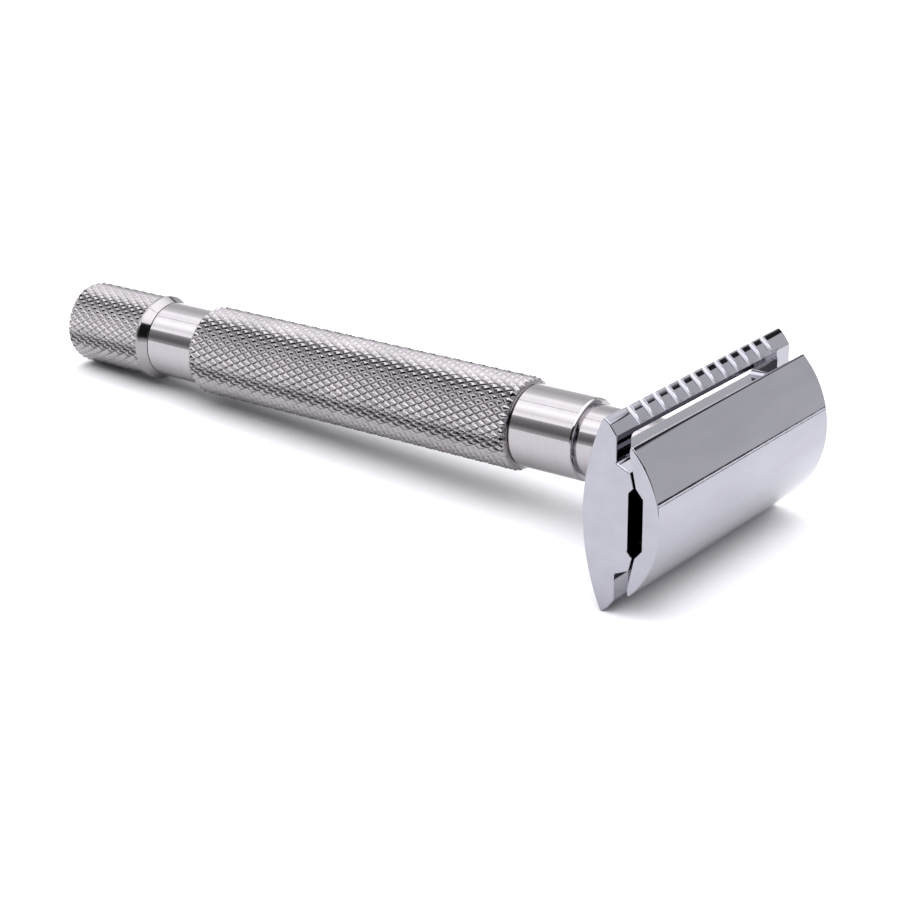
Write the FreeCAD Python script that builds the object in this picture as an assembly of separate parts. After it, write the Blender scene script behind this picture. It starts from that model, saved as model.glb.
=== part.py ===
"""Double-edge safety razor with a twist knob, one STEP file per separate piece.

Frame, in millimetres: the origin is the centre of the knob's flat end face, +X runs along the
handle to the head, +Y along the head's length, and +Z is up as the razor lies on a table.
The knob turns a draw rod inside the handle. A threaded socket on the rod's far end pulls the
cap's stud, and so clamps a blade between the cap and the guard plate.
"""

import FreeCAD, Part
import math
import os

from FreeCAD import Vector

# ---- knob, from its end face towards the head ----
KNOB_KNURL_R = 6.1
KNOB_END_ROUND = 0.9
KNOB_RING_START = 14.6
KNOB_RING_R = 6.35
KNOB_RING_END = 15.0
KNOB_LENGTH = 16.3
KNOB_GAP = 0.12
END_DISC_R = 4.4
END_DISC_THICK = 1.2
KNOB_SCREW_R = 1.25
KNOB_SCREW_HEAD_R = 2.6
KNOB_SCREW_HEAD_THICK = 1.8
SCREW_SLOT_WIDTH = 0.7
SCREW_SLOT_DEPTH = 0.8
KNOB_WEB_START = 3.2
ROD_START = 5.2
KNOB_SCREW_END = 11.0

# ---- handle ----
LOWER_COLLAR_R = 5.6
GRIP_START = 24.9
GRIP_END = 81.9
GRIP_R = 6.56
GRIP_CHAMFER = 0.7
UPPER_COLLAR_R = 5.75
UPPER_COLLAR_END = 92.2
COLLAR_CHAMFER = 0.5
SEAM_CHAMFER = 0.1
NECK_R = 4.95
NECK_SPIGOT_R = 4.4
CORE_R = 4.5
CORE_BORE_R = 2.9
CORE_START = 20.0
CORE_END = 86.0

# ---- draw gear inside the handle ----
ROD_R = 2.0
ROD_FLAT_HEIGHT = 1.6
ROD_FLAT_LENGTH = 4.0
ROD_END = 96.4
RUNNING_GAP = 0.05
ROD_PASSAGE_R = 2.3
BUSH_LENGTH = 6.0
BUSH_FLANGE_R = 3.9
BUSH_FLANGE_THICK = 0.8
THRUST_WASHER_R = 4.2
THRUST_WASHER_THICK = 0.9
THRUST_WASHER_BORE_R = 2.1
THRUST_WASHER_PLAY = 0.02
NECK_SHOULDER_END = 90.0
WAVE_WASHER_R = 3.5
WAVE_WASHER_THICK = 0.6
SOCKET_R = 3.65
SOCKET_START = 90.65
SOCKET_END = 106.4
SOCKET_THREAD_START = 97.0
SOCKET_CHAMFER = 0.3
SOCKET_PIN_R = 0.5
SOCKET_PIN_LENGTH = 6.9
SOCKET_PIN_X = 93.5
STUD_R = 2.5
STUD_CHAMFER = 0.4
THREAD_PITCH = 0.8
TURNS_TO_RELEASE = 9

# ---- head ----
HEAD_LENGTH = 43.5
UNDERSIDE_APEX_X = 104.4
BAR_BACK = (107.26, 12.94)
BAR_BACK_FILLET = 0.35
BAR_BROW = (108.17, 12.14)
BAR_FRONT = (109.05, 10.95)
LEDGE_X = 109.15
LEDGE_TOP_Z = 10.8
LEDGE_FOOT_Z = 7.3
SEAT_OUTER = (111.14, 6.45)
SEAT_INNER = (111.62, 4.52)
SEAT_FLOOR = (110.92, 3.74)
SEAT_FILLET = 0.12
SLOT_LOW_Z = 6.8
SLOT_HIGH_Z = 10.1
SLOT_HALF_LENGTH = 18.36
SLOT_CORNER_R = 0.7
SCALLOP_COUNT = 12
SCALLOP_PITCH = 3.02
SCALLOP_R = 0.7
SCALLOP_DEPTH = 0.32
SCALLOP_REACH = 1.25
POST_Y = 11.0
POST_R = 1.5
POST_CHAMFER = 0.3
POST_HOLE_R = 1.6
POST_TIP_X = 108.4
STUD_HOLE_R = 2.75
NECK_SEAT_END = 107.5
CAP_APEX_X = 115.4
CAP_CORNER = (111.05, 10.05)
CAP_CORNER_FILLET = 0.2
CAP_LIP = (110.96, 8.83)
CAP_FLANK_END = (111.93, 4.57)
CAP_CEILING = (112.97, 3.37)
CAP_BOSS_R = 3.4
CAP_BOSS_FACE_X = 111.0
CAP_SOCKET_DEPTH = 1.4

X_AXIS = Vector(1, 0, 0)
ORIGIN = Vector(0, 0, 0)


def rod(start, end, radius):
    """A solid cylinder along X."""
    return Part.makeCylinder(radius, end - start, Vector(start, 0, 0), X_AXIS)


def tube(start, end, outer, inner):
    """A plain tube along X."""
    return rod(start, end, outer).cut(rod(start - 1, end + 1, inner))


def lathe(outline):
    """A solid turned about X from a closed outline of (x, radius) points."""
    points = [Vector(x, 0, radius) for x, radius in outline]
    face = Part.Face(Part.makePolygon(points + points[:1]))
    return face.revolve(ORIGIN, X_AXIS, 360)


def chamfered_tube(start, end, outer, inner, start_chamfer, end_chamfer):
    """A tube whose outer corners are chamfered at 45 degrees."""
    return lathe([
        (start, inner),
        (start, outer - start_chamfer),
        (start + start_chamfer, outer),
        (end - end_chamfer, outer),
        (end, outer - end_chamfer),
        (end, inner),
    ])


def mirrored(half):
    """A half outline of (x, z) points from +Z to the middle, with its mirror image added."""
    return half + [(x, -z) for x, z in reversed(half)]


def head_bar(half, arc_middle):
    """A bar along Y: the outline's points, closed at the back by an arc through arc_middle."""
    points = [Vector(x, -HEAD_LENGTH / 2, z) for x, z in mirrored(half)]
    middle = Vector(arc_middle, -HEAD_LENGTH / 2, 0)
    back = Part.Arc(points[-1], middle, points[0]).toShape()
    wire = Part.Wire(Part.makePolygon(points).Edges + [back])
    return Part.Face(wire).extrude(Vector(0, HEAD_LENGTH, 0))


def edges_along_y(shape, corners, tolerance=0.05):
    """The full-length edges of a head bar that run through the given (x, z) corners."""
    found = []
    for edge in shape.Edges:
        first = edge.Vertexes[0].Point
        last = edge.Vertexes[-1].Point
        if abs(abs(last.y - first.y) - HEAD_LENGTH) > tolerance:
            continue
        if any(math.hypot(first.x - x, abs(first.z) - z) < tolerance for x, z in corners):
            found.append(edge)
    return found


def lather_slot(side):
    """The cutter for one lather slot, straight through the plate with rounded corners."""
    low = SLOT_LOW_Z if side > 0 else -SLOT_HIGH_Z
    start = UNDERSIDE_APEX_X - 2
    end = SEAT_OUTER[0] + 2
    corner = Vector(start, -SLOT_HALF_LENGTH, low)
    block = Part.makeBox(end - start, 2 * SLOT_HALF_LENGTH, SLOT_HIGH_Z - SLOT_LOW_Z, corner)
    along_x = [
        edge for edge in block.Edges
        if abs(edge.Vertexes[0].X - edge.Vertexes[-1].X) > 1
    ]
    return block.makeFillet(SLOT_CORNER_R, along_x)


def scallops(side):
    """The tilted round cutters of one guard bar, deep at the back and fading out to the front."""
    back = Vector(BAR_BACK[0], 0, side * BAR_BACK[1])
    front = Vector(BAR_FRONT[0], 0, side * BAR_FRONT[1])
    outward = Vector(abs(back.z - front.z), 0, side * abs(back.x - front.x))
    outward.normalize()
    shallow = back + (front - back) * SCALLOP_REACH
    along = back - outward * SCALLOP_DEPTH - shallow
    along.normalize()
    lift = Vector(abs(along.z), 0, side * abs(along.x)) * SCALLOP_R
    overrun = 2.0
    length = 7.0
    cutters = []
    for index in range(SCALLOP_COUNT):
        y = (index - (SCALLOP_COUNT - 1) / 2) * SCALLOP_PITCH
        base = shallow + lift - along * overrun + Vector(0, y, 0)
        cutters.append(Part.makeCylinder(SCALLOP_R, length, base, along))
    return cutters


def guard_plate():
    """The head's base: two scalloped guard bars, lather slots, blade seat and stud holes."""
    half = [
        BAR_BACK,
        BAR_BROW,
        BAR_FRONT,
        (LEDGE_X, LEDGE_TOP_Z),
        (LEDGE_X, LEDGE_FOOT_Z),
        SEAT_OUTER,
        SEAT_INNER,
        SEAT_FLOOR,
    ]
    plate = head_bar(half, UNDERSIDE_APEX_X)
    plate = plate.makeFillet(BAR_BACK_FILLET, edges_along_y(plate, [BAR_BACK]))
    plate = plate.makeFillet(SEAT_FILLET, edges_along_y(plate, [SEAT_OUTER]))
    for side in (1, -1):
        plate = plate.cut(lather_slot(side))
        for cutter in scallops(side):
            plate = plate.cut(cutter)
        post_hole = rod(UNDERSIDE_APEX_X - 1, SEAT_INNER[0] + 1, POST_HOLE_R)
        post_hole.translate(Vector(0, side * POST_Y, 0))
        plate = plate.cut(post_hole)
    plate = plate.cut(rod(UNDERSIDE_APEX_X - 1, SEAT_INNER[0] + 1, STUD_HOLE_R))
    return plate.cut(rod(UNDERSIDE_APEX_X - 1, NECK_SEAT_END, NECK_SPIGOT_R))


def neck_tube(plate):
    """The turned neck: a tail inside the upper collar, a saddle end and a spigot in the plate."""
    body = lathe([
        (CORE_END, ROD_PASSAGE_R),
        (CORE_END, CORE_R),
        (UPPER_COLLAR_END, CORE_R),
        (UPPER_COLLAR_END, NECK_R),
        (UNDERSIDE_APEX_X + 1, NECK_R),
        (UNDERSIDE_APEX_X + 1, NECK_SPIGOT_R),
        (NECK_SEAT_END, NECK_SPIGOT_R),
        (NECK_SEAT_END, SOCKET_R + RUNNING_GAP),
        (NECK_SHOULDER_END, SOCKET_R + RUNNING_GAP),
        (NECK_SHOULDER_END, ROD_PASSAGE_R),
    ])
    return body.cut(plate)


def upper_collar():
    """The smooth collar between the grip and the neck."""
    return chamfered_tube(
        GRIP_END, UPPER_COLLAR_END, UPPER_COLLAR_R, CORE_R, SEAM_CHAMFER, COLLAR_CHAMFER
    )


def grip_sleeve():
    """The gripping sleeve, at the outer radius of its diamond knurl."""
    return chamfered_tube(GRIP_START, GRIP_END, GRIP_R, CORE_R, GRIP_CHAMFER, GRIP_CHAMFER)


def core_tube():
    """The tube that the grip sleeve and both collars sit on."""
    return tube(CORE_START, CORE_END, CORE_R, CORE_BORE_R)


def lower_collar():
    """The smooth collar that the knob turns against, bored for the rear bush's flange."""
    start = KNOB_LENGTH + KNOB_GAP
    flange_end = CORE_START + BUSH_FLANGE_THICK
    collar = chamfered_tube(
        start, GRIP_START, LOWER_COLLAR_R, ROD_PASSAGE_R, SEAM_CHAMFER, SEAM_CHAMFER
    )
    collar = collar.cut(rod(CORE_START - BUSH_FLANGE_THICK, flange_end, BUSH_FLANGE_R))
    return collar.cut(rod(CORE_START, GRIP_START + 1, CORE_R))


def bush(tail_start, flange_start):
    """A flanged bearing bush for the draw rod, with its flange at flange_start."""
    body = tube(tail_start, tail_start + BUSH_LENGTH, CORE_BORE_R, ROD_R + RUNNING_GAP)
    flange_end = flange_start + BUSH_FLANGE_THICK
    return body.fuse(tube(flange_start, flange_end, BUSH_FLANGE_R, ROD_R + RUNNING_GAP))


def rear_bush():
    """The bush at the knob's end of the core tube."""
    return bush(CORE_START, CORE_START - BUSH_FLANGE_THICK).removeSplitter()


def front_bush():
    """The plain bush at the head's end of the core tube."""
    return tube(CORE_END - BUSH_LENGTH, CORE_END, CORE_BORE_R, ROD_R + RUNNING_GAP)


def wave_washer():
    """The spring washer that takes up play behind the threaded socket."""
    return tube(NECK_SHOULDER_END, NECK_SHOULDER_END + WAVE_WASHER_THICK, WAVE_WASHER_R, ROD_PASSAGE_R)


def rod_blank():
    """The draw rod's outside: a round rod with a driving flat at the knob's end."""
    shaft = rod(ROD_START, ROD_END, ROD_R)
    flat = Part.makeBox(
        ROD_FLAT_LENGTH, 2 * ROD_R, ROD_R, Vector(ROD_START, -ROD_R, ROD_FLAT_HEIGHT)
    )
    return shaft.cut(flat)


def draw_rod():
    """The long rod that the knob turns, tapped for the knob's screw and drilled for its pin."""
    shaft = rod_blank().cut(rod(ROD_START - 1, KNOB_SCREW_END, KNOB_SCREW_R))
    return shaft.cut(socket_pin())


def draw_socket():
    """The threaded socket on the rod's far end, which pulls the cap's stud."""
    body = chamfered_tube(SOCKET_START, SOCKET_END, SOCKET_R, ROD_R, SOCKET_CHAMFER, SOCKET_CHAMFER)
    body = body.cut(rod(SOCKET_THREAD_START, SOCKET_END + 1, STUD_R))
    return body.cut(socket_pin())


def socket_pin():
    """The cross pin that locks the socket to the rod."""
    base = Vector(SOCKET_PIN_X, -SOCKET_PIN_LENGTH / 2, 0)
    return Part.makeCylinder(SOCKET_PIN_R, SOCKET_PIN_LENGTH, base, Vector(0, 1, 0))


def knob_body():
    """The knob: knurled barrel, smooth ring, and a long bevel down to the lower collar."""
    steps = 6
    corner = []
    for index in range(steps + 1):
        angle = math.pi / 2 * index / steps
        x = KNOB_END_ROUND * (1 - math.sin(angle))
        radius = KNOB_KNURL_R - KNOB_END_ROUND * (1 - math.cos(angle))
        corner.append((x, radius))
    outline = [(0, 0)] + corner[::-1] + [
        (KNOB_RING_START, KNOB_KNURL_R),
        (KNOB_RING_START, KNOB_RING_R),
        (KNOB_RING_END, KNOB_RING_R),
        (KNOB_LENGTH, LOWER_COLLAR_R),
        (KNOB_LENGTH, 0),
    ]
    body = lathe(outline)
    body = body.cut(rod(-1, END_DISC_THICK, END_DISC_R))
    body = body.cut(rod(END_DISC_THICK - 0.5, KNOB_WEB_START, KNOB_SCREW_HEAD_R))
    body = body.cut(rod(KNOB_WEB_START - 0.5, ROD_START + 0.5, KNOB_SCREW_R))
    body = body.cut(rod(KNOB_LENGTH - THRUST_WASHER_THICK, KNOB_LENGTH + 1, THRUST_WASHER_R))
    return body.cut(rod_blank())


def knob_end_disc():
    """The plain disc pressed flush into the knob's end."""
    return rod(0, END_DISC_THICK, END_DISC_R)


def knob_screw():
    """The screw under the disc that holds the knob on the draw rod."""
    head = rod(KNOB_WEB_START - KNOB_SCREW_HEAD_THICK, KNOB_WEB_START, KNOB_SCREW_HEAD_R)
    shank = rod(KNOB_WEB_START, KNOB_SCREW_END, KNOB_SCREW_R)
    slot = Part.makeBox(SCREW_SLOT_DEPTH, 2 * KNOB_SCREW_HEAD_R + 1, SCREW_SLOT_WIDTH)
    slot.translate(Vector(
        KNOB_WEB_START - KNOB_SCREW_HEAD_THICK, -KNOB_SCREW_HEAD_R - 0.5, -SCREW_SLOT_WIDTH / 2
    ))
    return head.fuse(shank).cut(slot)


def thrust_washer():
    """The washer that the knob bears on as it draws the cap down."""
    start = KNOB_LENGTH - THRUST_WASHER_THICK
    end = KNOB_LENGTH + KNOB_GAP - THRUST_WASHER_PLAY
    return tube(start, end, THRUST_WASHER_R, THRUST_WASHER_BORE_R)


def cap_shell():
    """The cap: one smooth arc outside, blade flanks and a ceiling inside, and a stud boss."""
    half = [CAP_CORNER, CAP_LIP, CAP_FLANK_END, CAP_CEILING]
    shell = head_bar(half, CAP_APEX_X)
    boss = rod(CAP_BOSS_FACE_X, CAP_CEILING[0] + 0.5, CAP_BOSS_R)
    shell = shell.fuse(boss).removeSplitter()
    shell = shell.makeFillet(CAP_CORNER_FILLET, edges_along_y(shell, [CAP_CORNER]))
    depth_end = CAP_CEILING[0] + CAP_SOCKET_DEPTH
    shell = shell.cut(rod(CAP_BOSS_FACE_X - 1, depth_end, STUD_R))
    for side in (1, -1):
        socket = rod(CAP_CEILING[0] - 1, depth_end, POST_R)
        socket.translate(Vector(0, side * POST_Y, 0))
        shell = shell.cut(socket)
    return shell


def cap_stud():
    """The threaded stud, at its outer radius less the thread's play, pressed into the cap."""
    tip = SOCKET_END - TURNS_TO_RELEASE * THREAD_PITCH
    play = STUD_R - RUNNING_GAP
    end = CAP_CEILING[0] + CAP_SOCKET_DEPTH
    return lathe([
        (tip, 0),
        (tip, play - STUD_CHAMFER),
        (tip + STUD_CHAMFER, play),
        (CAP_BOSS_FACE_X, play),
        (CAP_BOSS_FACE_X, STUD_R),
        (end, STUD_R),
        (end, 0),
    ])


def cap_post(side):
    """One locating post, which keeps the blade square and the cap from turning."""
    end = CAP_CEILING[0] + CAP_SOCKET_DEPTH
    post = lathe([
        (POST_TIP_X, 0),
        (POST_TIP_X, POST_R - POST_CHAMFER),
        (POST_TIP_X + POST_CHAMFER, POST_R),
        (end, POST_R),
        (end, 0),
    ])
    post.translate(Vector(0, side * POST_Y, 0))
    return post


def build():
    """Every node's name with its solid."""
    plate = guard_plate()
    return {
        "guard_plate": plate,
        "neck_tube": neck_tube(plate),
        "upper_collar": upper_collar(),
        "grip_sleeve": grip_sleeve(),
        "core_tube": core_tube(),
        "lower_collar": lower_collar(),
        "rear_bush": rear_bush(),
        "front_bush": front_bush(),
        "wave_washer": wave_washer(),
        "knob_body": knob_body(),
        "knob_end_disc": knob_end_disc(),
        "knob_screw": knob_screw(),
        "thrust_washer": thrust_washer(),
        "draw_rod": draw_rod(),
        "draw_socket": draw_socket(),
        "socket_pin": socket_pin(),
        "cap_shell": cap_shell(),
        "cap_stud": cap_stud(),
        "cap_post_left": cap_post(1),
        "cap_post_right": cap_post(-1),
    }


os.makedirs("parts", exist_ok=True)
for name, shape in build().items():
    if not shape.isValid() or len(shape.Solids) != 1:
        raise RuntimeError(f"{name}: valid {shape.isValid()}, {len(shape.Solids)} solids")
    shape.exportStep(f"parts/{name}.step")
    print(f"{name}: {shape.Volume:.1f} mm3")
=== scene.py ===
"""Looks of the chrome safety razor: its finished pieces, materials and studio.

Outlines are written in millimetres in the CAD frame: X along the handle to the head, Y along the
head, Z up. Meshes are scaled to metres when they become pieces.
"""

import math

import bmesh
import bpy
from mathutils import Matrix, Vector


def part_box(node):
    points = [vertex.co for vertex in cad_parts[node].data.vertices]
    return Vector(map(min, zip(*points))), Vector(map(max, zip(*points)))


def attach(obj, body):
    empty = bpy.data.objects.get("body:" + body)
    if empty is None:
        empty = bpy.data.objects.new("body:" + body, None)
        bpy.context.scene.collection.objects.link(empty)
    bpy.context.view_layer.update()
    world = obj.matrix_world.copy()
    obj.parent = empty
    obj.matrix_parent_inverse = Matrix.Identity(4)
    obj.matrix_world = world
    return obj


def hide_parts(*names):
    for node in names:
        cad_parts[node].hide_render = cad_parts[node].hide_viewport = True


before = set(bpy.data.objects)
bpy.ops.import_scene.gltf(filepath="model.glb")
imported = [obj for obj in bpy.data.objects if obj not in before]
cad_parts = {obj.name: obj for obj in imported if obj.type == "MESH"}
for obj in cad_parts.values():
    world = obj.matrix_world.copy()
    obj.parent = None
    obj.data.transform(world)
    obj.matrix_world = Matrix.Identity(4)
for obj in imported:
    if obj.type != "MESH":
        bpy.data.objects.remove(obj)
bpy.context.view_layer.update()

MM = 0.001
SEGMENTS = 128
ENVELOPE_SEGMENTS = 96
BORE_SEGMENTS = 64
HOLE_SEGMENTS = 48
THREAD_SEGMENTS = 48
SMALLEST_CORNER_R = 0.04
WELD_DISTANCE = 1e-4
FINE_WELD_DISTANCE = 1e-5
CUT_TOLERANCE = 1e-6
BEVEL_FROM_ANGLE = math.radians(40)
KNURL_SHARP_ANGLE = 60

# An envelope clears by OVER what it doesn't trim, and a cutter or a joined piece runs PAST the face.
OVER = 0.3
PAST = 1


def run_along_x(node):
    """Where a CAD node starts and ends along X, in millimetres."""
    low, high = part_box(node)
    return low.x / MM, high.x / MM


# ---- handle and knob, along X: the screw, spigot and bore are (x where it ends, radius) ----
KNOB_R = 6.1
KNOB_END_ROUND = 0.9
KNOB_RING = (14.6, 15.0)
KNOB_RING_R = 6.35
KNOB_RING_CREST_R = 0.1
KNOB_EDGE = 0.08
KNOB_LENGTH = run_along_x("knob_body")[1]
KNOB_STARTS = 34
KNOB_KNURL_PITCH = 1.78
KNOB_KNURL_DEPTH = 0.36
END_DISC_R = 4.4
END_DISC_THICK = 1.2
END_DISC_CLEARANCE = 0.03
KNOB_SCREW_HEAD = (3.2, 2.6)
KNOB_SCREW_SHANK = (5.2, 1.25)
ROD_R = 2.0
THRUST_WASHER_R = 4.2
THRUST_WASHER_START = run_along_x("thrust_washer")[0]
COLLAR_START = run_along_x("lower_collar")[0]
COLLAR_R = 5.6
COLLAR_EDGE = 0.06
GRIP = run_along_x("grip_sleeve")
GRIP_R = 6.56
GRIP_CHAMFER = 0.7
GRIP_STARTS = 34
GRIP_KNURL_PITCH = 2.13
GRIP_KNURL_DEPTH = 0.46
KNURL_FLAT = 0.16
UPPER_COLLAR_R = 5.75
UPPER_COLLAR_EDGE = 0.45
UPPER_COLLAR_END = run_along_x("upper_collar")[1]
NECK_R = 4.95
NECK_EDGE = 0.05
NECK_SPIGOT = (107.5, 4.4)
NECK_BORE = (90.0, 3.7)
CORE = run_along_x("core_tube")
CORE_R = 4.5
BUSH_FLANGE_START = run_along_x("rear_bush")[0]
BUSH_FLANGE_R = 3.9
ROD_CLEARANCE_R = 2.3

# ---- head, with corners of its cross-section as (x, z, corner radius) ----
HEAD_HALF_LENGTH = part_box("guard_plate")[1].y / MM
UNDERSIDE_APEX_X = run_along_x("guard_plate")[0]
HEAD_EDGE = 0.18
UNDERSIDE_CLEAR = 0.95
BAR_BACK = (107.26, 12.94, 0.35)
BAR_BROW = (108.17, 12.14, 2.0)
BAR_FRONT = (109.05, 10.95, 0.2)
LEDGE_OUTER = (109.15, 10.8, 0)
LEDGE_INNER = (109.15, 7.3, 0.16)
SEAT_FOOT = (111.14, 6.45, 0.16)
SEAT_CREST = (111.62, 4.52, 0.2)
SEAT_HOLLOW = (110.92, 3.74, 0.16)
GUARD_BEVEL = 0.05

# Where a cutter starts and ends: across the whole plate in x, then from the underside's apex, then
# along a scallop from where it fades out.
PLATE_BORE = (102, 114)
SLOT_CUT = (-2, 8)
SCALLOP_CUT = (-2, 5)

SLOT_Z = (6.8, 10.1)
SLOT_HALF_LENGTH = 18.36
SLOT_CORNER_R = 0.7
SCALLOP_COUNT = 12
SCALLOP_PITCH = 3.02
SCALLOP_R = 0.7
SCALLOP_DEPTH = 0.32
SCALLOP_REACH = 1.25
POST_START = run_along_x("cap_post_left")[0]
POST_Y = 11.0
POST_R = 1.5
POST_TIP_ROUND = 0.4
POST_HOLE_R = 1.6
STUD_R = 2.45
STUD_SEAT_R = 2.5
STUD_HOLE_R = 2.75
STUD_TIP_CHAMFER = 0.5
STUD_TRIM = 0.05
THREAD_PITCH = 0.8
THREAD_DEPTH = 0.4
CAP_APEX_X = run_along_x("cap_shell")[1]
CAP_CORNER = (111.05, 10.05, 0.22)
CAP_FLANK_FOOT = (110.96, 8.83, 0.16)
CAP_FLANK_TOP = (111.93, 4.57, 0.2)
CAP_CEILING = (112.97, 3.37, 0.16)
CAP_BOSS = (111.0, 3.4)
CAP_BOSS_EDGE = 0.1
STUD_START, CAP_SOCKET_END = run_along_x("cap_stud")

# One turn of the thread, as (share of the pitch, share of the depth): crest, flank, root, flank.
THREAD_TURN = ((0.0, 0.0), (0.1, 0.0), (0.45, 1.0), (0.6, 1.0))


# ---- outlines ----

def arc_points(first, apex_x, steps, clear=0.6):
    """Points of the arc from (x, z) first through (apex_x, 0) to its mirror image across z = 0.

    Points closer than clear to either end are left out, to make room for a rounded corner there.
    """
    x, z = first
    sag = x - apex_x
    radius = (sag * sag + z * z) / (2 * abs(sag))
    centre = apex_x + math.copysign(radius, sag)
    half = math.asin(z / radius)
    points = []
    for index in range(1, steps):
        angle = half * (1 - 2 * index / steps)
        if (abs(half) - abs(angle)) * radius > clear:
            x = centre - math.copysign(radius, sag) * math.cos(angle)
            points.append((x, radius * math.sin(angle), 0))
    return points


def inset(outline, distance):
    """A closed outline of (x, z, corner radius) moved inwards, anticlockwise as (x, z)."""
    moved = []
    for index, (x, z, radius) in enumerate(outline):
        before = Vector(outline[index - 1][:2])
        after = Vector(outline[(index + 1) % len(outline)][:2])
        here = Vector((x, z))
        along_in = (here - before).normalized()
        along_out = (after - here).normalized()
        normal_in = Vector((-along_in.y, along_in.x))
        normal_out = Vector((-along_out.y, along_out.x))
        shift = (normal_in + normal_out) * distance / (1 + normal_in.dot(normal_out))
        turn = along_in.x * along_out.y - along_in.y * along_out.x
        new_radius = radius
        if radius:
            new_radius = max(radius - math.copysign(distance, turn), SMALLEST_CORNER_R)
        moved.append((x + shift.x, z + shift.y, new_radius))
    return moved


def mirrored(half):
    """The lower half of a cross-section, from its upper half of (x, z, corner radius)."""
    return [(x, -z, radius) for x, z, radius in reversed(half)]


def rounded(outline, closed=True, steps=5):
    """The outline's points, with an arc at each corner that has a radius."""
    points = []
    count = len(outline)
    for index, (x, z, radius) in enumerate(outline):
        at_end = not closed and index in (0, count - 1)
        if not radius or at_end:
            points.append((x, z))
            continue
        here = Vector((x, z))
        to_before = (Vector(outline[index - 1][:2]) - here).normalized()
        to_after = (Vector(outline[(index + 1) % count][:2]) - here).normalized()
        angle = to_before.angle(to_after)
        reach = radius / math.tan(angle / 2)
        first = here + to_before * reach
        last = here + to_after * reach
        middle = here + (to_before + to_after).normalized() * radius / math.sin(angle / 2)
        sweep = math.pi - angle
        start, end = first - middle, last - middle
        for step in range(steps + 1):
            share = step / steps
            mix = start * math.sin((1 - share) * sweep) + end * math.sin(share * sweep)
            point = middle + mix / math.sin(sweep)
            points.append((point.x, point.y))
    return points


# ---- mesh building ----

def bridge(bm, first, second):
    """Faces between two closed rings of equal length, or from a ring to a single point."""
    count = max(len(first), len(second))
    for index in range(count):
        after = (index + 1) % count
        if len(first) == 1:
            bm.faces.new((first[0], second[after], second[index]))
        elif len(second) == 1:
            bm.faces.new((first[index], first[after], second[0]))
        else:
            bm.faces.new((first[index], first[after], second[after], second[index]))


def lathe(outline, segments=SEGMENTS, closed=False):
    """A mesh turned about X from (x, radius) points. closed joins the last point to the first."""
    bm = bmesh.new()
    rings = []
    for x, radius in outline:
        ring_size = segments if radius else 1
        ring = []
        for index in range(ring_size):
            angle = 2 * math.pi * (index + 0.5) / segments
            ring.append(bm.verts.new((x, radius * math.cos(angle), radius * math.sin(angle))))
        rings.append(ring)
    for first, second in zip(rings, rings[1:]):
        bridge(bm, first, second)
    if closed:
        bridge(bm, rings[-1], rings[0])
    bmesh.ops.recalc_face_normals(bm, faces=bm.faces)
    return bm


def tube(start, end, outer, inner, edge):
    """A turned sleeve whose outer corners are rounded."""
    corners = [(start, inner, 0), (start, outer, edge), (end, outer, edge), (end, inner, 0)]
    return lathe(rounded(corners), closed=True)


def head_bar(outline, edge, end_steps=4):
    """A bar along Y with a cross-section of (x, z, corner radius), its end edges rounded."""
    bm = bmesh.new()
    right_end = []
    for step in range(end_steps + 1):
        angle = math.pi / 2 * step / end_steps
        y = HEAD_HALF_LENGTH - edge * (1 - math.cos(angle))
        right_end.append((y, edge * (1 - math.sin(angle))))
    stations = [(-y, depth) for y, depth in right_end] + right_end[::-1]
    rings = []
    for y, depth in stations:
        section = rounded(inset(outline, depth))
        rings.append([bm.verts.new((x, y, z)) for x, z in section])
    for first, second in zip(rings, rings[1:]):
        bridge(bm, first, second)
    bm.faces.new(rings[0])
    bm.faces.new(rings[-1])
    bmesh.ops.recalc_face_normals(bm, faces=bm.faces)
    return bm


def extruded(points, along, shift):
    """A closed block: an outline of Vectors moved by the vector shift, then swept by along."""
    bm = bmesh.new()
    low = [bm.verts.new(point + shift) for point in points]
    high = [bm.verts.new(point + shift + along) for point in points]
    bridge(bm, low, high)
    bm.faces.new(low)
    bm.faces.new(high)
    bmesh.ops.recalc_face_normals(bm, faces=bm.faces)
    return bm


def joined(parts):
    """One mesh that holds the given ones side by side. They are used up."""
    whole = bmesh.new()
    for part in parts:
        loose = bpy.data.meshes.new("loose")
        part.to_mesh(loose)
        part.free()
        whole.from_mesh(loose)
        bpy.data.meshes.remove(loose)
    return whole


def boolean(target, cutter, operation):
    """target changed by cutter, as one new mesh. Both are used up."""
    made = []
    for bm in (target, cutter):
        mesh = bpy.data.meshes.new("boolean")
        bm.to_mesh(mesh)
        bm.free()
        made.append(bpy.data.objects.new("boolean", mesh))
        bpy.context.scene.collection.objects.link(made[-1])
    modifier = made[0].modifiers.new("boolean", "BOOLEAN")
    modifier.object = made[1]
    modifier.operation = operation
    modifier.solver = "EXACT"
    graph = bpy.context.evaluated_depsgraph_get()
    result = bmesh.new()
    evaluated = made[0].evaluated_get(graph)
    result.from_mesh(evaluated.to_mesh())
    evaluated.to_mesh_clear()
    for obj in made:
        mesh = obj.data
        bpy.data.objects.remove(obj)
        bpy.data.meshes.remove(mesh)
    bmesh.ops.remove_doubles(result, verts=result.verts, dist=WELD_DISTANCE)
    return result


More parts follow.
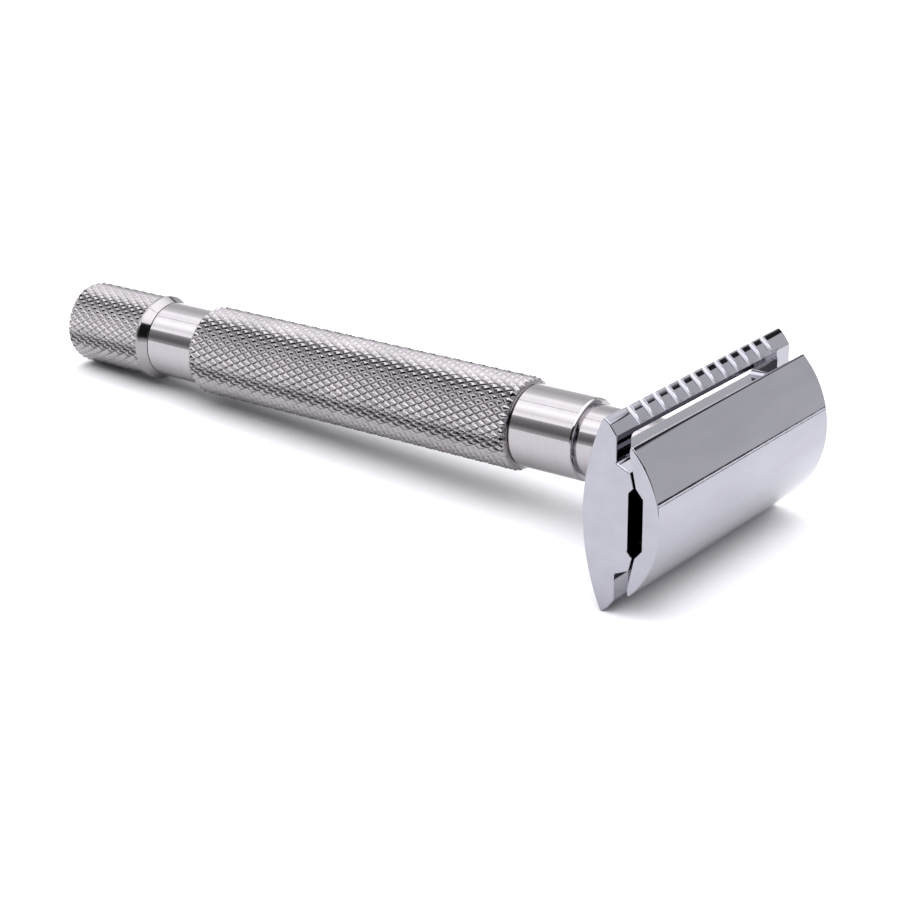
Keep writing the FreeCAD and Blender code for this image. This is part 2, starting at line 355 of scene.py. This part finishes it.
def piece(name, bm, body, material, nodes, sharp=30, bevel=0):
    """Makes a mesh in millimetres into a piece that rides on a body and replaces CAD nodes.

    Edges sharper than sharp degrees stay sharp in the shading. bevel is a width in millimetres.
    """
    bmesh.ops.scale(bm, vec=(MM, MM, MM), verts=bm.verts)
    mesh = bpy.data.meshes.new(name)
    bm.to_mesh(mesh)
    bm.free()
    mesh.materials.append(material)
    obj = bpy.data.objects.new(name, mesh)
    bpy.context.scene.collection.objects.link(obj)
    mesh.shade_smooth()
    mesh.set_sharp_from_angle(angle=math.radians(sharp))
    if bevel:
        edges = obj.modifiers.new("edges", "BEVEL")
        edges.width = bevel * MM
        edges.segments = 2
        edges.limit_method = "ANGLE"
        edges.angle_limit = BEVEL_FROM_ANGLE
        edges.use_clamp_overlap = False
    normals = obj.modifiers.new("normals", "WEIGHTED_NORMAL")
    normals.weight = 100
    normals.keep_sharp = True
    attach(obj, body)
    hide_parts(*nodes)


# ---- knurl and thread ----

def knurled_barrel(start, end, radius, starts, pitch, depth):
    """A closed barrel of diamond-shaped flat-topped points between two crossing sets of grooves."""
    bm = bmesh.new()
    low = radius - depth
    first_row = math.floor(start * 2 / pitch) - 2
    last_row = math.ceil(end * 2 / pitch) + 2

    def place(column, row, at_radius):
        angle = math.pi * column / starts
        return Vector((row * pitch / 2, at_radius * math.cos(angle), at_radius * math.sin(angle)))

    crossings = {}
    for row in range(first_row, last_row + 1):
        for column in range(2 * starts):
            if (row + column) % 2 == 0:
                crossings[column, row] = bm.verts.new(place(column, row, low))
    around = ((1, 0), (0, 1), (-1, 0), (0, -1))
    for row in range(first_row + 1, last_row):
        for column in range(2 * starts):
            if (row + column) % 2 == 0:
                continue
            top = []
            for across, along in around:
                point = place(column + across * KNURL_FLAT, row + along * KNURL_FLAT, radius)
                top.append(bm.verts.new(point))
            foot = []
            for across, along in around:
                foot.append(crossings[(column + across) % (2 * starts), row + along])
            bm.faces.new(top)
            bridge(bm, foot, top)
    for row, inner in ((first_row, first_row + 1), (last_row, last_row - 1)):
        hub = bm.verts.new((row * pitch / 2, 0, 0))
        rim = []
        for column in range(2 * starts):
            rim.append(crossings[column, row if (row + column) % 2 == 0 else inner])
        bridge(bm, [hub], rim)
    bmesh.ops.recalc_face_normals(bm, faces=bm.faces)
    return bm


def threaded_rod(start, end, radius, segments=THREAD_SEGMENTS):
    """A closed right-hand thread about X, with a flat crest and root, cut square at both ends."""
    bm = bmesh.new()
    first_turn = math.floor(start / THREAD_PITCH) - 2
    last_turn = math.ceil(end / THREAD_PITCH) + 2
    columns = []
    for index in range(segments + 1):
        angle = 2 * math.pi * index / segments
        column = []
        for turn in range(first_turn, last_turn):
            for share, depth in THREAD_TURN:
                x = (turn + share + index / segments) * THREAD_PITCH
                at_radius = radius - depth * THREAD_DEPTH
                y, z = at_radius * math.cos(angle), at_radius * math.sin(angle)
                column.append(bm.verts.new((x, y, z)))
        columns.append(column)
    for first, second in zip(columns, columns[1:]):
        for index in range(len(first) - 1):
            bm.faces.new((first[index], first[index + 1], second[index + 1], second[index]))
    bmesh.ops.remove_doubles(bm, verts=bm.verts, dist=FINE_WELD_DISTANCE)
    for x, outward in ((start, -1), (end, 1)):
        cut = bmesh.ops.bisect_plane(
            bm,
            geom=bm.verts[:] + bm.edges[:] + bm.faces[:],
            dist=CUT_TOLERANCE,
            plane_co=(x, 0, 0),
            plane_no=(outward, 0, 0),
            clear_outer=True,
        )
        rim = [edge for edge in cut["geom_cut"] if isinstance(edge, bmesh.types.BMEdge)]
        bmesh.ops.edgeloop_fill(bm, edges=rim)
    bmesh.ops.recalc_face_normals(bm, faces=bm.faces)
    return bm


# ---- materials ----

def node_material(name):
    """A plain node material, returned with its nodes, links and shader."""
    material = bpy.data.materials.new(name)
    material.use_nodes = True
    nodes = material.node_tree.nodes
    return material, nodes, material.node_tree.links, nodes["Principled BSDF"]


def noise(nodes, links, scale, detail, stretch=(1, 1, 1)):
    """A noise texture in the object's own coordinates, stretched by the given factors."""
    place = nodes.new("ShaderNodeTexCoord")
    mapping = nodes.new("ShaderNodeMapping")
    mapping.inputs["Scale"].default_value = stretch
    texture = nodes.new("ShaderNodeTexNoise")
    texture.inputs["Scale"].default_value = scale
    texture.inputs["Detail"].default_value = detail
    links.new(place.outputs["Object"], mapping.inputs["Vector"])
    links.new(mapping.outputs["Vector"], texture.inputs["Vector"])
    return texture.outputs["Fac"]


def spread(nodes, links, source, low, high, start=0.3, end=0.7):
    """source, from start to end, mapped to the range low to high."""
    mapped = nodes.new("ShaderNodeMapRange")
    mapped.inputs["From Min"].default_value = start
    mapped.inputs["From Max"].default_value = end
    mapped.inputs["To Min"].default_value = low
    mapped.inputs["To Max"].default_value = high
    links.new(source, mapped.inputs["Value"])
    return mapped.outputs["Result"]


def blend(nodes, links, factor, first, second):
    """A colour that runs from first to second with factor. Each is a colour or a node's output."""
    mix = nodes.new("ShaderNodeMix")
    mix.data_type = "RGBA"
    links.new(factor, mix.inputs["Factor"])
    for end, colour in (("A", first), ("B", second)):
        if isinstance(colour, tuple):
            mix.inputs[end].default_value = (*colour, 1)
        else:
            links.new(colour, mix.inputs[end])
    return mix.outputs["Result"]


RIPPLE_HEIGHT = 0.00002


def metal(name, light, dark, smooth, rough, ripple, stretch=(1, 1, 1)):
    """Plated or machined metal: faint tone and gloss variation, and a fine surface ripple."""
    material, nodes, links, shader = node_material(name)
    shader.inputs["Metallic"].default_value = 1
    tone = spread(nodes, links, noise(nodes, links, 160, 3, stretch), 0, 1)
    links.new(blend(nodes, links, tone, dark, light), shader.inputs["Base Color"])
    haze = noise(nodes, links, 420, 5, stretch)
    links.new(spread(nodes, links, haze, smooth, rough), shader.inputs["Roughness"])
    bump = nodes.new("ShaderNodeBump")
    bump.inputs["Strength"].default_value = ripple
    bump.inputs["Distance"].default_value = RIPPLE_HEIGHT
    links.new(noise(nodes, links, 1500, 2, stretch), bump.inputs["Height"])
    links.new(bump.outputs["Normal"], shader.inputs["Normal"])
    return material


def nylon():
    """Plain moulded nylon, with a slight mottle."""
    material, nodes, links, shader = node_material("nylon")
    mottle = spread(nodes, links, noise(nodes, links, 300, 4), 0, 1)
    colour = blend(nodes, links, mottle, (0.72, 0.71, 0.66), (0.80, 0.79, 0.74))
    links.new(colour, shader.inputs["Base Color"])
    links.new(spread(nodes, links, mottle, 0.42, 0.55, 0, 1), shader.inputs["Roughness"])
    return material


# Scales of the tone pattern along X, Y and Z: rings round the handle, and streaks along the head.
TURNED = (14, 1, 1)
DRAWN = (2, 0.6, 2)

head_chrome = metal(
    "head_chrome",
    light=(0.368, 0.366, 0.402),
    dark=(0.337, 0.335, 0.371),
    smooth=0.02,
    rough=0.05,
    ripple=0.04,
    stretch=DRAWN,
)
handle_chrome = metal(
    "handle_chrome",
    light=(0.397, 0.375, 0.388),
    dark=(0.379, 0.358, 0.371),
    smooth=0.05,
    rough=0.09,
    ripple=0.05,
    stretch=TURNED,
)
# The knurl's chrome is the handle's chrome painted darker: painted shade standing in for the shade
# deep in the knurl's grooves.
knurl_chrome_painted_shade = metal(
    "knurl_chrome_painted_shade",
    light=(0.315, 0.297, 0.306),
    dark=(0.263, 0.25, 0.256),
    smooth=0.06,
    rough=0.11,
    ripple=0.10,
)
machined_steel = metal(
    "machined_steel",
    light=(0.50, 0.50, 0.52),
    dark=(0.42, 0.42, 0.44),
    smooth=0.22,
    rough=0.34,
    ripple=0.3,
    stretch=TURNED,
)
machined_brass = metal(
    "machined_brass",
    light=(0.75, 0.57, 0.28),
    dark=(0.66, 0.48, 0.22),
    smooth=0.20,
    rough=0.32,
    ripple=0.3,
    stretch=TURNED,
)
natural_nylon = nylon()


# ---- handle ----

def grip():
    """The knurled sleeve, its ends chamfered through the knurl."""
    start, end = GRIP
    corners = [
        (start, CORE_R),
        (start, GRIP_R - GRIP_CHAMFER),
        (start + GRIP_CHAMFER + OVER, GRIP_R + OVER),
        (end - GRIP_CHAMFER - OVER, GRIP_R + OVER),
        (end, GRIP_R - GRIP_CHAMFER),
        (end, CORE_R),
    ]
    envelope = lathe(corners, ENVELOPE_SEGMENTS, closed=True)
    barrel = knurled_barrel(start, end, GRIP_R, GRIP_STARTS, GRIP_KNURL_PITCH, GRIP_KNURL_DEPTH)
    return boolean(barrel, envelope, "INTERSECT")


def knob():
    """The knob: knurled barrel, ring and bevel, bored for its disc, screw, draw rod and washer."""
    ring_start, ring_end = KNOB_RING
    clear_of_knurl = KNOB_R + OVER / 4
    dome = [
        (0, 0, 0),
        (0, KNOB_R, KNOB_END_ROUND),
        (KNOB_END_ROUND + OVER, clear_of_knurl, 0),
        (ring_start + OVER, clear_of_knurl, 0),
        (ring_start + OVER, 0, 0),
    ]
    envelope = lathe(rounded(dome, closed=False), ENVELOPE_SEGMENTS)
    barrel = knurled_barrel(0, ring_start, KNOB_R, KNOB_STARTS, KNOB_KNURL_PITCH, KNOB_KNURL_DEPTH)
    barrel = boolean(barrel, envelope, "INTERSECT")
    ring = [
        (ring_start, 0, 0),
        (ring_start, KNOB_RING_R, KNOB_EDGE),
        (ring_end, KNOB_RING_R, KNOB_RING_CREST_R),
        (KNOB_LENGTH, COLLAR_R, KNOB_EDGE),
        (KNOB_LENGTH, 0, 0),
    ]
    solid = boolean(barrel, lathe(rounded(ring, closed=False)), "UNION")
    head_end, head_radius = KNOB_SCREW_HEAD
    shank_end, shank_radius = KNOB_SCREW_SHANK
    bore = [
        (-PAST, 0),
        (-PAST, END_DISC_R),
        (END_DISC_THICK, END_DISC_R),
        (END_DISC_THICK, head_radius),
        (head_end, head_radius),
        (head_end, shank_radius),
        (shank_end, shank_radius),
        (shank_end, ROD_R),
        (THRUST_WASHER_START, ROD_R),
        (THRUST_WASHER_START, THRUST_WASHER_R),
        (KNOB_LENGTH + PAST, THRUST_WASHER_R),
        (KNOB_LENGTH + PAST, 0),
    ]
    return boolean(solid, lathe(bore, BORE_SEGMENTS), "DIFFERENCE")


def knob_disc():
    """The plain disc in the knob's end, with a hairline of clearance around it."""
    radius = END_DISC_R - END_DISC_CLEARANCE
    corners = [
        (0, 0, 0),
        (0, radius, KNOB_EDGE),
        (END_DISC_THICK, radius, 0),
        (END_DISC_THICK, 0, 0),
    ]
    return lathe(rounded(corners, closed=False))


def lower_collar():
    """The collar beside the knob, stepped inside for the rear bush and the core tube."""
    end = GRIP[0]
    corners = [
        (COLLAR_START, ROD_CLEARANCE_R, 0),
        (COLLAR_START, COLLAR_R, COLLAR_EDGE),
        (end, COLLAR_R, COLLAR_EDGE),
        (end, CORE_R, 0),
        (CORE[0], CORE_R, 0),
        (CORE[0], BUSH_FLANGE_R, 0),
        (BUSH_FLANGE_START, BUSH_FLANGE_R, 0),
        (BUSH_FLANGE_START, ROD_CLEARANCE_R, 0),
    ]
    return lathe(rounded(corners), closed=True)


def neck():
    """The neck: a tail in the upper collar, a saddle end, and a spigot in the guard plate."""
    shoulder, bore = NECK_BORE
    front, spigot = NECK_SPIGOT
    corners = [
        (CORE[1], ROD_CLEARANCE_R, 0),
        (CORE[1], CORE_R, 0),
        (UPPER_COLLAR_END, CORE_R, 0),
        (UPPER_COLLAR_END, NECK_R, NECK_EDGE),
        (UNDERSIDE_APEX_X + PAST, NECK_R, 0),
        (UNDERSIDE_APEX_X + PAST, spigot, 0),
        (front, spigot, 0),
        (front, bore, 0),
        (shoulder, bore, 0),
        (shoulder, ROD_CLEARANCE_R, 0),
    ]
    return boolean(lathe(rounded(corners), closed=True), plate_blank(), "DIFFERENCE")


def knurled_piece(name, bm, body, node):
    """A piece in the knurled slot, its chrome painted darker as painted shade for its grooves, whose
    shallow facets are shaded smooth.
    """
    piece(name, bm, body, knurl_chrome_painted_shade, [node], sharp=KNURL_SHARP_ANGLE)


def turned_piece(name, bm, body, node):
    """A piece in the slot of the handle's smooth turned parts."""
    piece(name, bm, body, handle_chrome, [node])


def build_handle():
    """The grip with its collars and neck, and the knob with its disc."""
    collar = tube(GRIP[1], UPPER_COLLAR_END, UPPER_COLLAR_R, CORE_R, UPPER_COLLAR_EDGE)
    knurled_piece("grip", grip(), "handle", "grip_sleeve")
    turned_piece("lower_collar_turned", lower_collar(), "handle", "lower_collar")
    turned_piece("upper_collar_turned", collar, "handle", "upper_collar")
    turned_piece("neck_turned", neck(), "handle", "neck_tube")
    knurled_piece("knob_knurled", knob(), "knob", "knob_body")
    turned_piece("knob_disc", knob_disc(), "knob", "knob_end_disc")


# ---- head ----

def lather_slot(side):
    """The cutter for one lather slot, straight through the plate with rounded corners."""
    low, high = SLOT_Z
    corners = [
        (SLOT_HALF_LENGTH, low, SLOT_CORNER_R),
        (SLOT_HALF_LENGTH, high, SLOT_CORNER_R),
        (-SLOT_HALF_LENGTH, high, SLOT_CORNER_R),
        (-SLOT_HALF_LENGTH, low, SLOT_CORNER_R),
    ]
    points = [Vector((0, y, side * z)) for y, z in rounded(corners)]
    behind, ahead = SLOT_CUT
    start = Vector((UNDERSIDE_APEX_X + behind, 0, 0))
    return extruded(points, Vector((ahead - behind, 0, 0)), start)


def round_cutter(radius, start, along, segments=HOLE_SEGMENTS):
    """A closed cylinder from start, by the vector along."""
    bm = bmesh.new()
    turn = along.to_track_quat("Z", "Y").to_matrix().to_4x4()
    bmesh.ops.create_cone(
        bm,
        cap_ends=True,
        segments=segments,
        radius1=radius,
        radius2=radius,
        depth=along.length,
        matrix=Matrix.Translation(start + along / 2) @ turn,
    )
    return bm


def hole_along_x(radius, start, end, y=0, segments=HOLE_SEGMENTS):
    """A round cutter parallel to the handle, from start to end in x."""
    return round_cutter(radius, Vector((start, y, 0)), Vector((end - start, 0, 0)), segments)


def scallop_cutters(side):
    """The tilted cutters of one guard bar's scallops, deep at the back and fading out to the front."""
    back = Vector((BAR_BACK[0], 0, side * BAR_BACK[1]))
    front = Vector((BAR_FRONT[0], 0, side * BAR_FRONT[1]))
    slope = back - front
    outward = Vector((abs(slope.z), 0, side * abs(slope.x))).normalized()
    shallow = back - slope * SCALLOP_REACH
    deep = back - outward * SCALLOP_DEPTH
    along = (deep - shallow).normalized()
    lift = Vector((abs(along.z), 0, side * abs(along.x))) * SCALLOP_R
    run_in, run_out = SCALLOP_CUT
    sweep = along * (run_out - run_in)
    cutters = []
    for index in range(SCALLOP_COUNT):
        y = (index - (SCALLOP_COUNT - 1) / 2) * SCALLOP_PITCH
        start = shallow + lift + along * run_in + Vector((0, y, 0))
        cutters.append(round_cutter(SCALLOP_R, start, sweep, BORE_SEGMENTS))
    return cutters


def plate_blank():
    """The base plate with its seat, ledges and bars, bored for the neck's spigot and the stud."""
    half = [
        BAR_BACK,
        BAR_BROW,
        BAR_FRONT,
        LEDGE_OUTER,
        LEDGE_INNER,
        SEAT_FOOT,
        SEAT_CREST,
        SEAT_HOLLOW,
    ]
    back = arc_points((BAR_BACK[0], -BAR_BACK[1]), UNDERSIDE_APEX_X, 40, clear=UNDERSIDE_CLEAR)
    outline = half + mirrored(half) + back
    behind, ahead = PLATE_BORE
    seat_end, seat = NECK_SPIGOT
    bore = [
        (behind, 0),
        (behind, seat),
        (seat_end, seat),
        (seat_end, STUD_HOLE_R),
        (ahead, STUD_HOLE_R),
        (ahead, 0),
    ]
    bar = head_bar(outline[::-1], HEAD_EDGE)
    return boolean(bar, lathe(bore, ENVELOPE_SEGMENTS), "DIFFERENCE")


def guard_plate():
    """The base plate with its lather slots, post holes and scallops."""
    holes = []
    for side in (1, -1):
        holes.append(hole_along_x(POST_HOLE_R, *PLATE_BORE, side * POST_Y))
        holes.append(lather_slot(side))
    plate = boolean(plate_blank(), joined(holes), "DIFFERENCE")
    return boolean(plate, joined(scallop_cutters(1) + scallop_cutters(-1)), "DIFFERENCE")


def cap():
    """The cap: one arc outside, flanks and ceiling inside, and sockets for the stud and posts."""
    half = [CAP_CORNER, CAP_FLANK_FOOT, CAP_FLANK_TOP, CAP_CEILING]
    crown = arc_points((CAP_CORNER[0], -CAP_CORNER[1]), CAP_APEX_X, 96)
    shell = head_bar(half + mirrored(half) + crown, HEAD_EDGE)
    ceiling = CAP_CEILING[0]
    face, radius = CAP_BOSS
    boss = [
        (face, 0, 0),
        (face, radius, CAP_BOSS_EDGE),
        (ceiling + PAST, radius, 0),
        (ceiling + PAST, 0, 0),
    ]
    shell = boolean(shell, lathe(rounded(boss, closed=False)), "UNION")
    sockets = [hole_along_x(STUD_SEAT_R, face - PAST, CAP_SOCKET_END, segments=BORE_SEGMENTS)]
    for side in (1, -1):
        sockets.append(hole_along_x(POST_R, ceiling - PAST, CAP_SOCKET_END, side * POST_Y))
    return boolean(shell, joined(sockets), "DIFFERENCE")


def stud():
    """The threaded stud, its tip pointed by a chamfer, with a plain end in the cap."""
    tip = STUD_START
    seat = CAP_BOSS[0]
    trim_radius = STUD_R + STUD_TRIM
    trim = [
        (tip, 0),
        (tip, trim_radius - STUD_TIP_CHAMFER),
        (tip + STUD_TIP_CHAMFER, trim_radius),
        (seat, trim_radius),
        (seat, 0),
    ]
    rod = threaded_rod(tip - STUD_TIP_CHAMFER, seat + STUD_TIP_CHAMFER, STUD_R)
    thread = boolean(rod, lathe(trim, BORE_SEGMENTS), "INTERSECT")
    plain = [
        (seat - STUD_TRIM, 0),
        (seat - STUD_TRIM, STUD_R - 2 * STUD_TRIM),
        (seat, STUD_SEAT_R),
        (CAP_SOCKET_END, STUD_SEAT_R),
        (CAP_SOCKET_END, 0),
    ]
    return boolean(thread, lathe(plain, BORE_SEGMENTS), "UNION")


def post(side):
    """A locating post with a rounded tip."""
    corners = [
        (POST_START, 0, 0),
        (POST_START, POST_R, POST_TIP_ROUND),
        (CAP_SOCKET_END, POST_R, 0),
        (CAP_SOCKET_END, 0, 0),
    ]
    bm = lathe(rounded(corners, closed=False), BORE_SEGMENTS)
    bmesh.ops.translate(bm, vec=(0, side * POST_Y, 0), verts=bm.verts)
    return bm


def head_piece(name, bm, body, node, bevel=0):
    """A piece in the slot of the polished head."""
    piece(name, bm, body, head_chrome, [node], bevel=bevel)


def build_head():
    """The guard plate, and the cap with its stud and posts."""
    head_piece("guard", guard_plate(), "handle", "guard_plate", GUARD_BEVEL)
    head_piece("cap", cap(), "cap", "cap_shell")
    head_piece("stud_threaded", stud(), "cap", "cap_stud")
    head_piece("post_left", post(1), "cap", "cap_post_left")
    head_piece("post_right", post(-1), "cap", "cap_post_right")


def dress_inner_parts():
    """Gives the CAD nodes inside the handle their machined metals and nylon."""
    inner = {
        "core_tube": machined_brass,
        "rear_bush": machined_brass,
        "front_bush": machined_brass,
        "draw_socket": machined_brass,
        "wave_washer": machined_steel,
        "knob_screw": machined_steel,
        "draw_rod": machined_steel,
        "socket_pin": machined_steel,
        "thrust_washer": natural_nylon,
    }
    for name, material in inner.items():
        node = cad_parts[name]
        node.data.materials.clear()
        node.data.materials.append(material)


# ---- studio ----

# The razor lies on the knob's end and on the lower guard bar. The table's runs are measured from the
# first towards the second, in metres.
KNOB_REST = Vector((KNOB_END_ROUND, 0, -KNOB_R)) * MM
GUARD_REST = Vector((107.4, 0, -12.72)) * MM
TABLE_RUNS = ((-1.6, 0.1888), (0.1938, 0.2123))
TABLE_HALF_WIDTH = 1.2

# Brightness of the room behind the handle, by the angle about it: 0 is overhead, 90 towards +Y.
ROOM_BEHIND = (
    (-99, 0.98), (-91, 0.93), (-84, 0.54), (-75, 0.22), (-68, 0.24), (-59, 0.36), (-52, 0.62),
    (-49.5, 1.9), (-45, 1.9), (-37, 1.53), (-29, 1.96), (-21, 2.4), (-12, 2.04), (6, 1.84),
    (16, 2.04), (21, 1.75), (27, 1.25), (39, 0.96), (52, 0.74), (70, 0.74), (98, 0.82), (99.5, 0.1),
)
# Brightness of the rest of the room, by the angle from overhead: towards +Y, then towards -Y.
ROOM_FAR = (
    (0, 2.9), (30, 2.7), (45, 2.0), (57, 1.2), (58.5, 0.03), (62, 0.03), (63, 0.8), (96.2, 0.83),
    (96.5, 0.03),
)
ROOM_NEAR = (
    (0, 2.9), (30, 2.7), (45, 2.2), (47, 0.02), (80, 0.02), (85, 0.5), (91, 0.95), (98, 0.98),
)
ABOUT_HANDLE_SPAN = (-100, 100)
FROM_OVERHEAD_SPAN = (0, 100)
# The parts of the room meet over these ranges of the viewing direction's y and x.
NEAR_TO_FAR = (-0.1, 0.1)
BEHIND_TO_AHEAD = (-0.45, -0.25)
# The dark joint between the two ceiling panels: its angle and half its width, in degrees.
PANEL_JOINT = (-3.9, 0.55)
PANEL_JOINT_COLOUR = (0.3, 0.3, 0.3)
BLUE_CAST = 1.03
ROOM_STRENGTH = 1.16


def floor():
    """A white table top under the knob's end and the lower guard bar, with a strip along its end."""
    along = (GUARD_REST - KNOB_REST).normalized()
    across = Vector((0, TABLE_HALF_WIDTH, 0))
    bm = bmesh.new()
    for start, end in TABLE_RUNS:
        near, far = KNOB_REST + along * start, KNOB_REST + along * end
        corners = (near - across, far - across, far + across, near + across)
        bm.faces.new([bm.verts.new(corner) for corner in corners])
    mesh = bpy.data.meshes.new("table_top")
    bm.to_mesh(mesh)
    bm.free()
    table = bpy.data.objects.new("table_top", mesh)
    bpy.context.scene.collection.objects.link(table)
    material, nodes, links, shader = node_material("white_paper")
    grain = spread(nodes, links, noise(nodes, links, 900, 3), 0, 1)
    colour = blend(nodes, links, grain, (0.86, 0.86, 0.87), (0.88, 0.88, 0.89))
    links.new(colour, shader.inputs["Base Color"])
    shader.inputs["Roughness"].default_value = 0.9
    shader.inputs["Specular IOR Level"].default_value = 0.1
    mesh.materials.append(material)


def room_ramp(nodes, links, turn, stops, span):
    """Brightness from (degrees, brightness) stops, at an angle turn that spans the given degrees."""
    low, high = span
    turn = spread(nodes, links, turn, 0, 1, math.radians(low), math.radians(high))
    ramp = nodes.new("ShaderNodeValToRGB")
    first = ramp.color_ramp.elements[0]
    ramp.color_ramp.elements.remove(ramp.color_ramp.elements[1])
    for index, (degrees, level) in enumerate(stops):
        place = (degrees - low) / (high - low)
        stop = ramp.color_ramp.elements.new(place) if index else first
        stop.position = place
        stop.color = (level, level, level * BLUE_CAST, 1)
    links.new(turn, ramp.inputs["Fac"])
    return ramp.outputs["Color"]


def math_node(nodes, links, operation, *sources):
    """A math node of the given outputs or plain numbers."""
    node = nodes.new("ShaderNodeMath")
    node.operation = operation
    for socket, source in zip(node.inputs, sources):
        if isinstance(source, float):
            socket.default_value = source
        else:
            links.new(source, socket)
    return node.outputs["Value"]


def surroundings():
    """The room: two long ceiling panels, grey walls, and plain white where the camera sees it."""
    world = bpy.data.worlds.new("room")
    bpy.context.scene.world = world
    world.use_nodes = True
    nodes, links = world.node_tree.nodes, world.node_tree.links
    nodes.clear()
    place = nodes.new("ShaderNodeTexCoord")
    split = nodes.new("ShaderNodeSeparateXYZ")
    links.new(place.outputs["Generated"], split.inputs["Vector"])
    x, y, z = split.outputs
    about_handle = math_node(nodes, links, "ARCTAN2", y, z)
    from_overhead = math_node(nodes, links, "ARCCOSINE", z)
    behind = room_ramp(nodes, links, about_handle, ROOM_BEHIND, ABOUT_HANDLE_SPAN)
    far = room_ramp(nodes, links, from_overhead, ROOM_FAR, FROM_OVERHEAD_SPAN)
    near = room_ramp(nodes, links, from_overhead, ROOM_NEAR, FROM_OVERHEAD_SPAN)
    ahead = blend(nodes, links, spread(nodes, links, y, 0, 1, *NEAR_TO_FAR), near, far)
    whole = blend(nodes, links, spread(nodes, links, x, 0, 1, *BEHIND_TO_AHEAD), behind, ahead)
    angle, half_width = (math.radians(degrees) for degrees in PANEL_JOINT)
    joint = math_node(nodes, links, "COMPARE", about_handle, angle, half_width)
    room = nodes.new("ShaderNodeBackground")
    links.new(blend(nodes, links, joint, whole, PANEL_JOINT_COLOUR), room.inputs["Color"])
    room.inputs["Strength"].default_value = ROOM_STRENGTH
    white = nodes.new("ShaderNodeBackground")
    white.inputs["Color"].default_value = (1, 1, 1, 1)
    seen = nodes.new("ShaderNodeLightPath")
    mix = nodes.new("ShaderNodeMixShader")
    links.new(seen.outputs["Is Camera Ray"], mix.inputs["Fac"])
    links.new(room.outputs["Background"], mix.inputs[1])
    links.new(white.outputs["Background"], mix.inputs[2])
    output = nodes.new("ShaderNodeOutputWorld")
    links.new(mix.outputs["Shader"], output.inputs["Surface"])


CAMERA_PLACE = Vector((244.99, -240.13, 106.47)) * MM
CAMERA_TARGET = Vector((68.31, 0, -6.63)) * MM
CAMERA_ROLL = math.radians(-0.44)
CAMERA_LENS = 91.22


def camera():
    """The camera, seeing the cap's outside and the razor's front side from a little above."""
    data = bpy.data.cameras.new("camera")
    data.lens = CAMERA_LENS
    data.sensor_width = 36
    data.clip_start = 0.01
    data.clip_end = 20
    view = bpy.data.objects.new("camera", data)
    turn = (CAMERA_TARGET - CAMERA_PLACE).to_track_quat("-Z", "Y")
    view.rotation_mode = "QUATERNION"
    view.rotation_quaternion = turn @ Matrix.Rotation(CAMERA_ROLL, 3, "Z").to_quaternion()
    view.location = CAMERA_PLACE
    bpy.context.scene.collection.objects.link(view)
    bpy.context.scene.camera = view


def studio():
    """Table, room and camera, with a plain colour transform."""
    floor()
    surroundings()
    camera()
    bpy.context.scene.view_settings.view_transform = "Standard"


build_handle()
build_head()
dress_inner_parts()
studio()
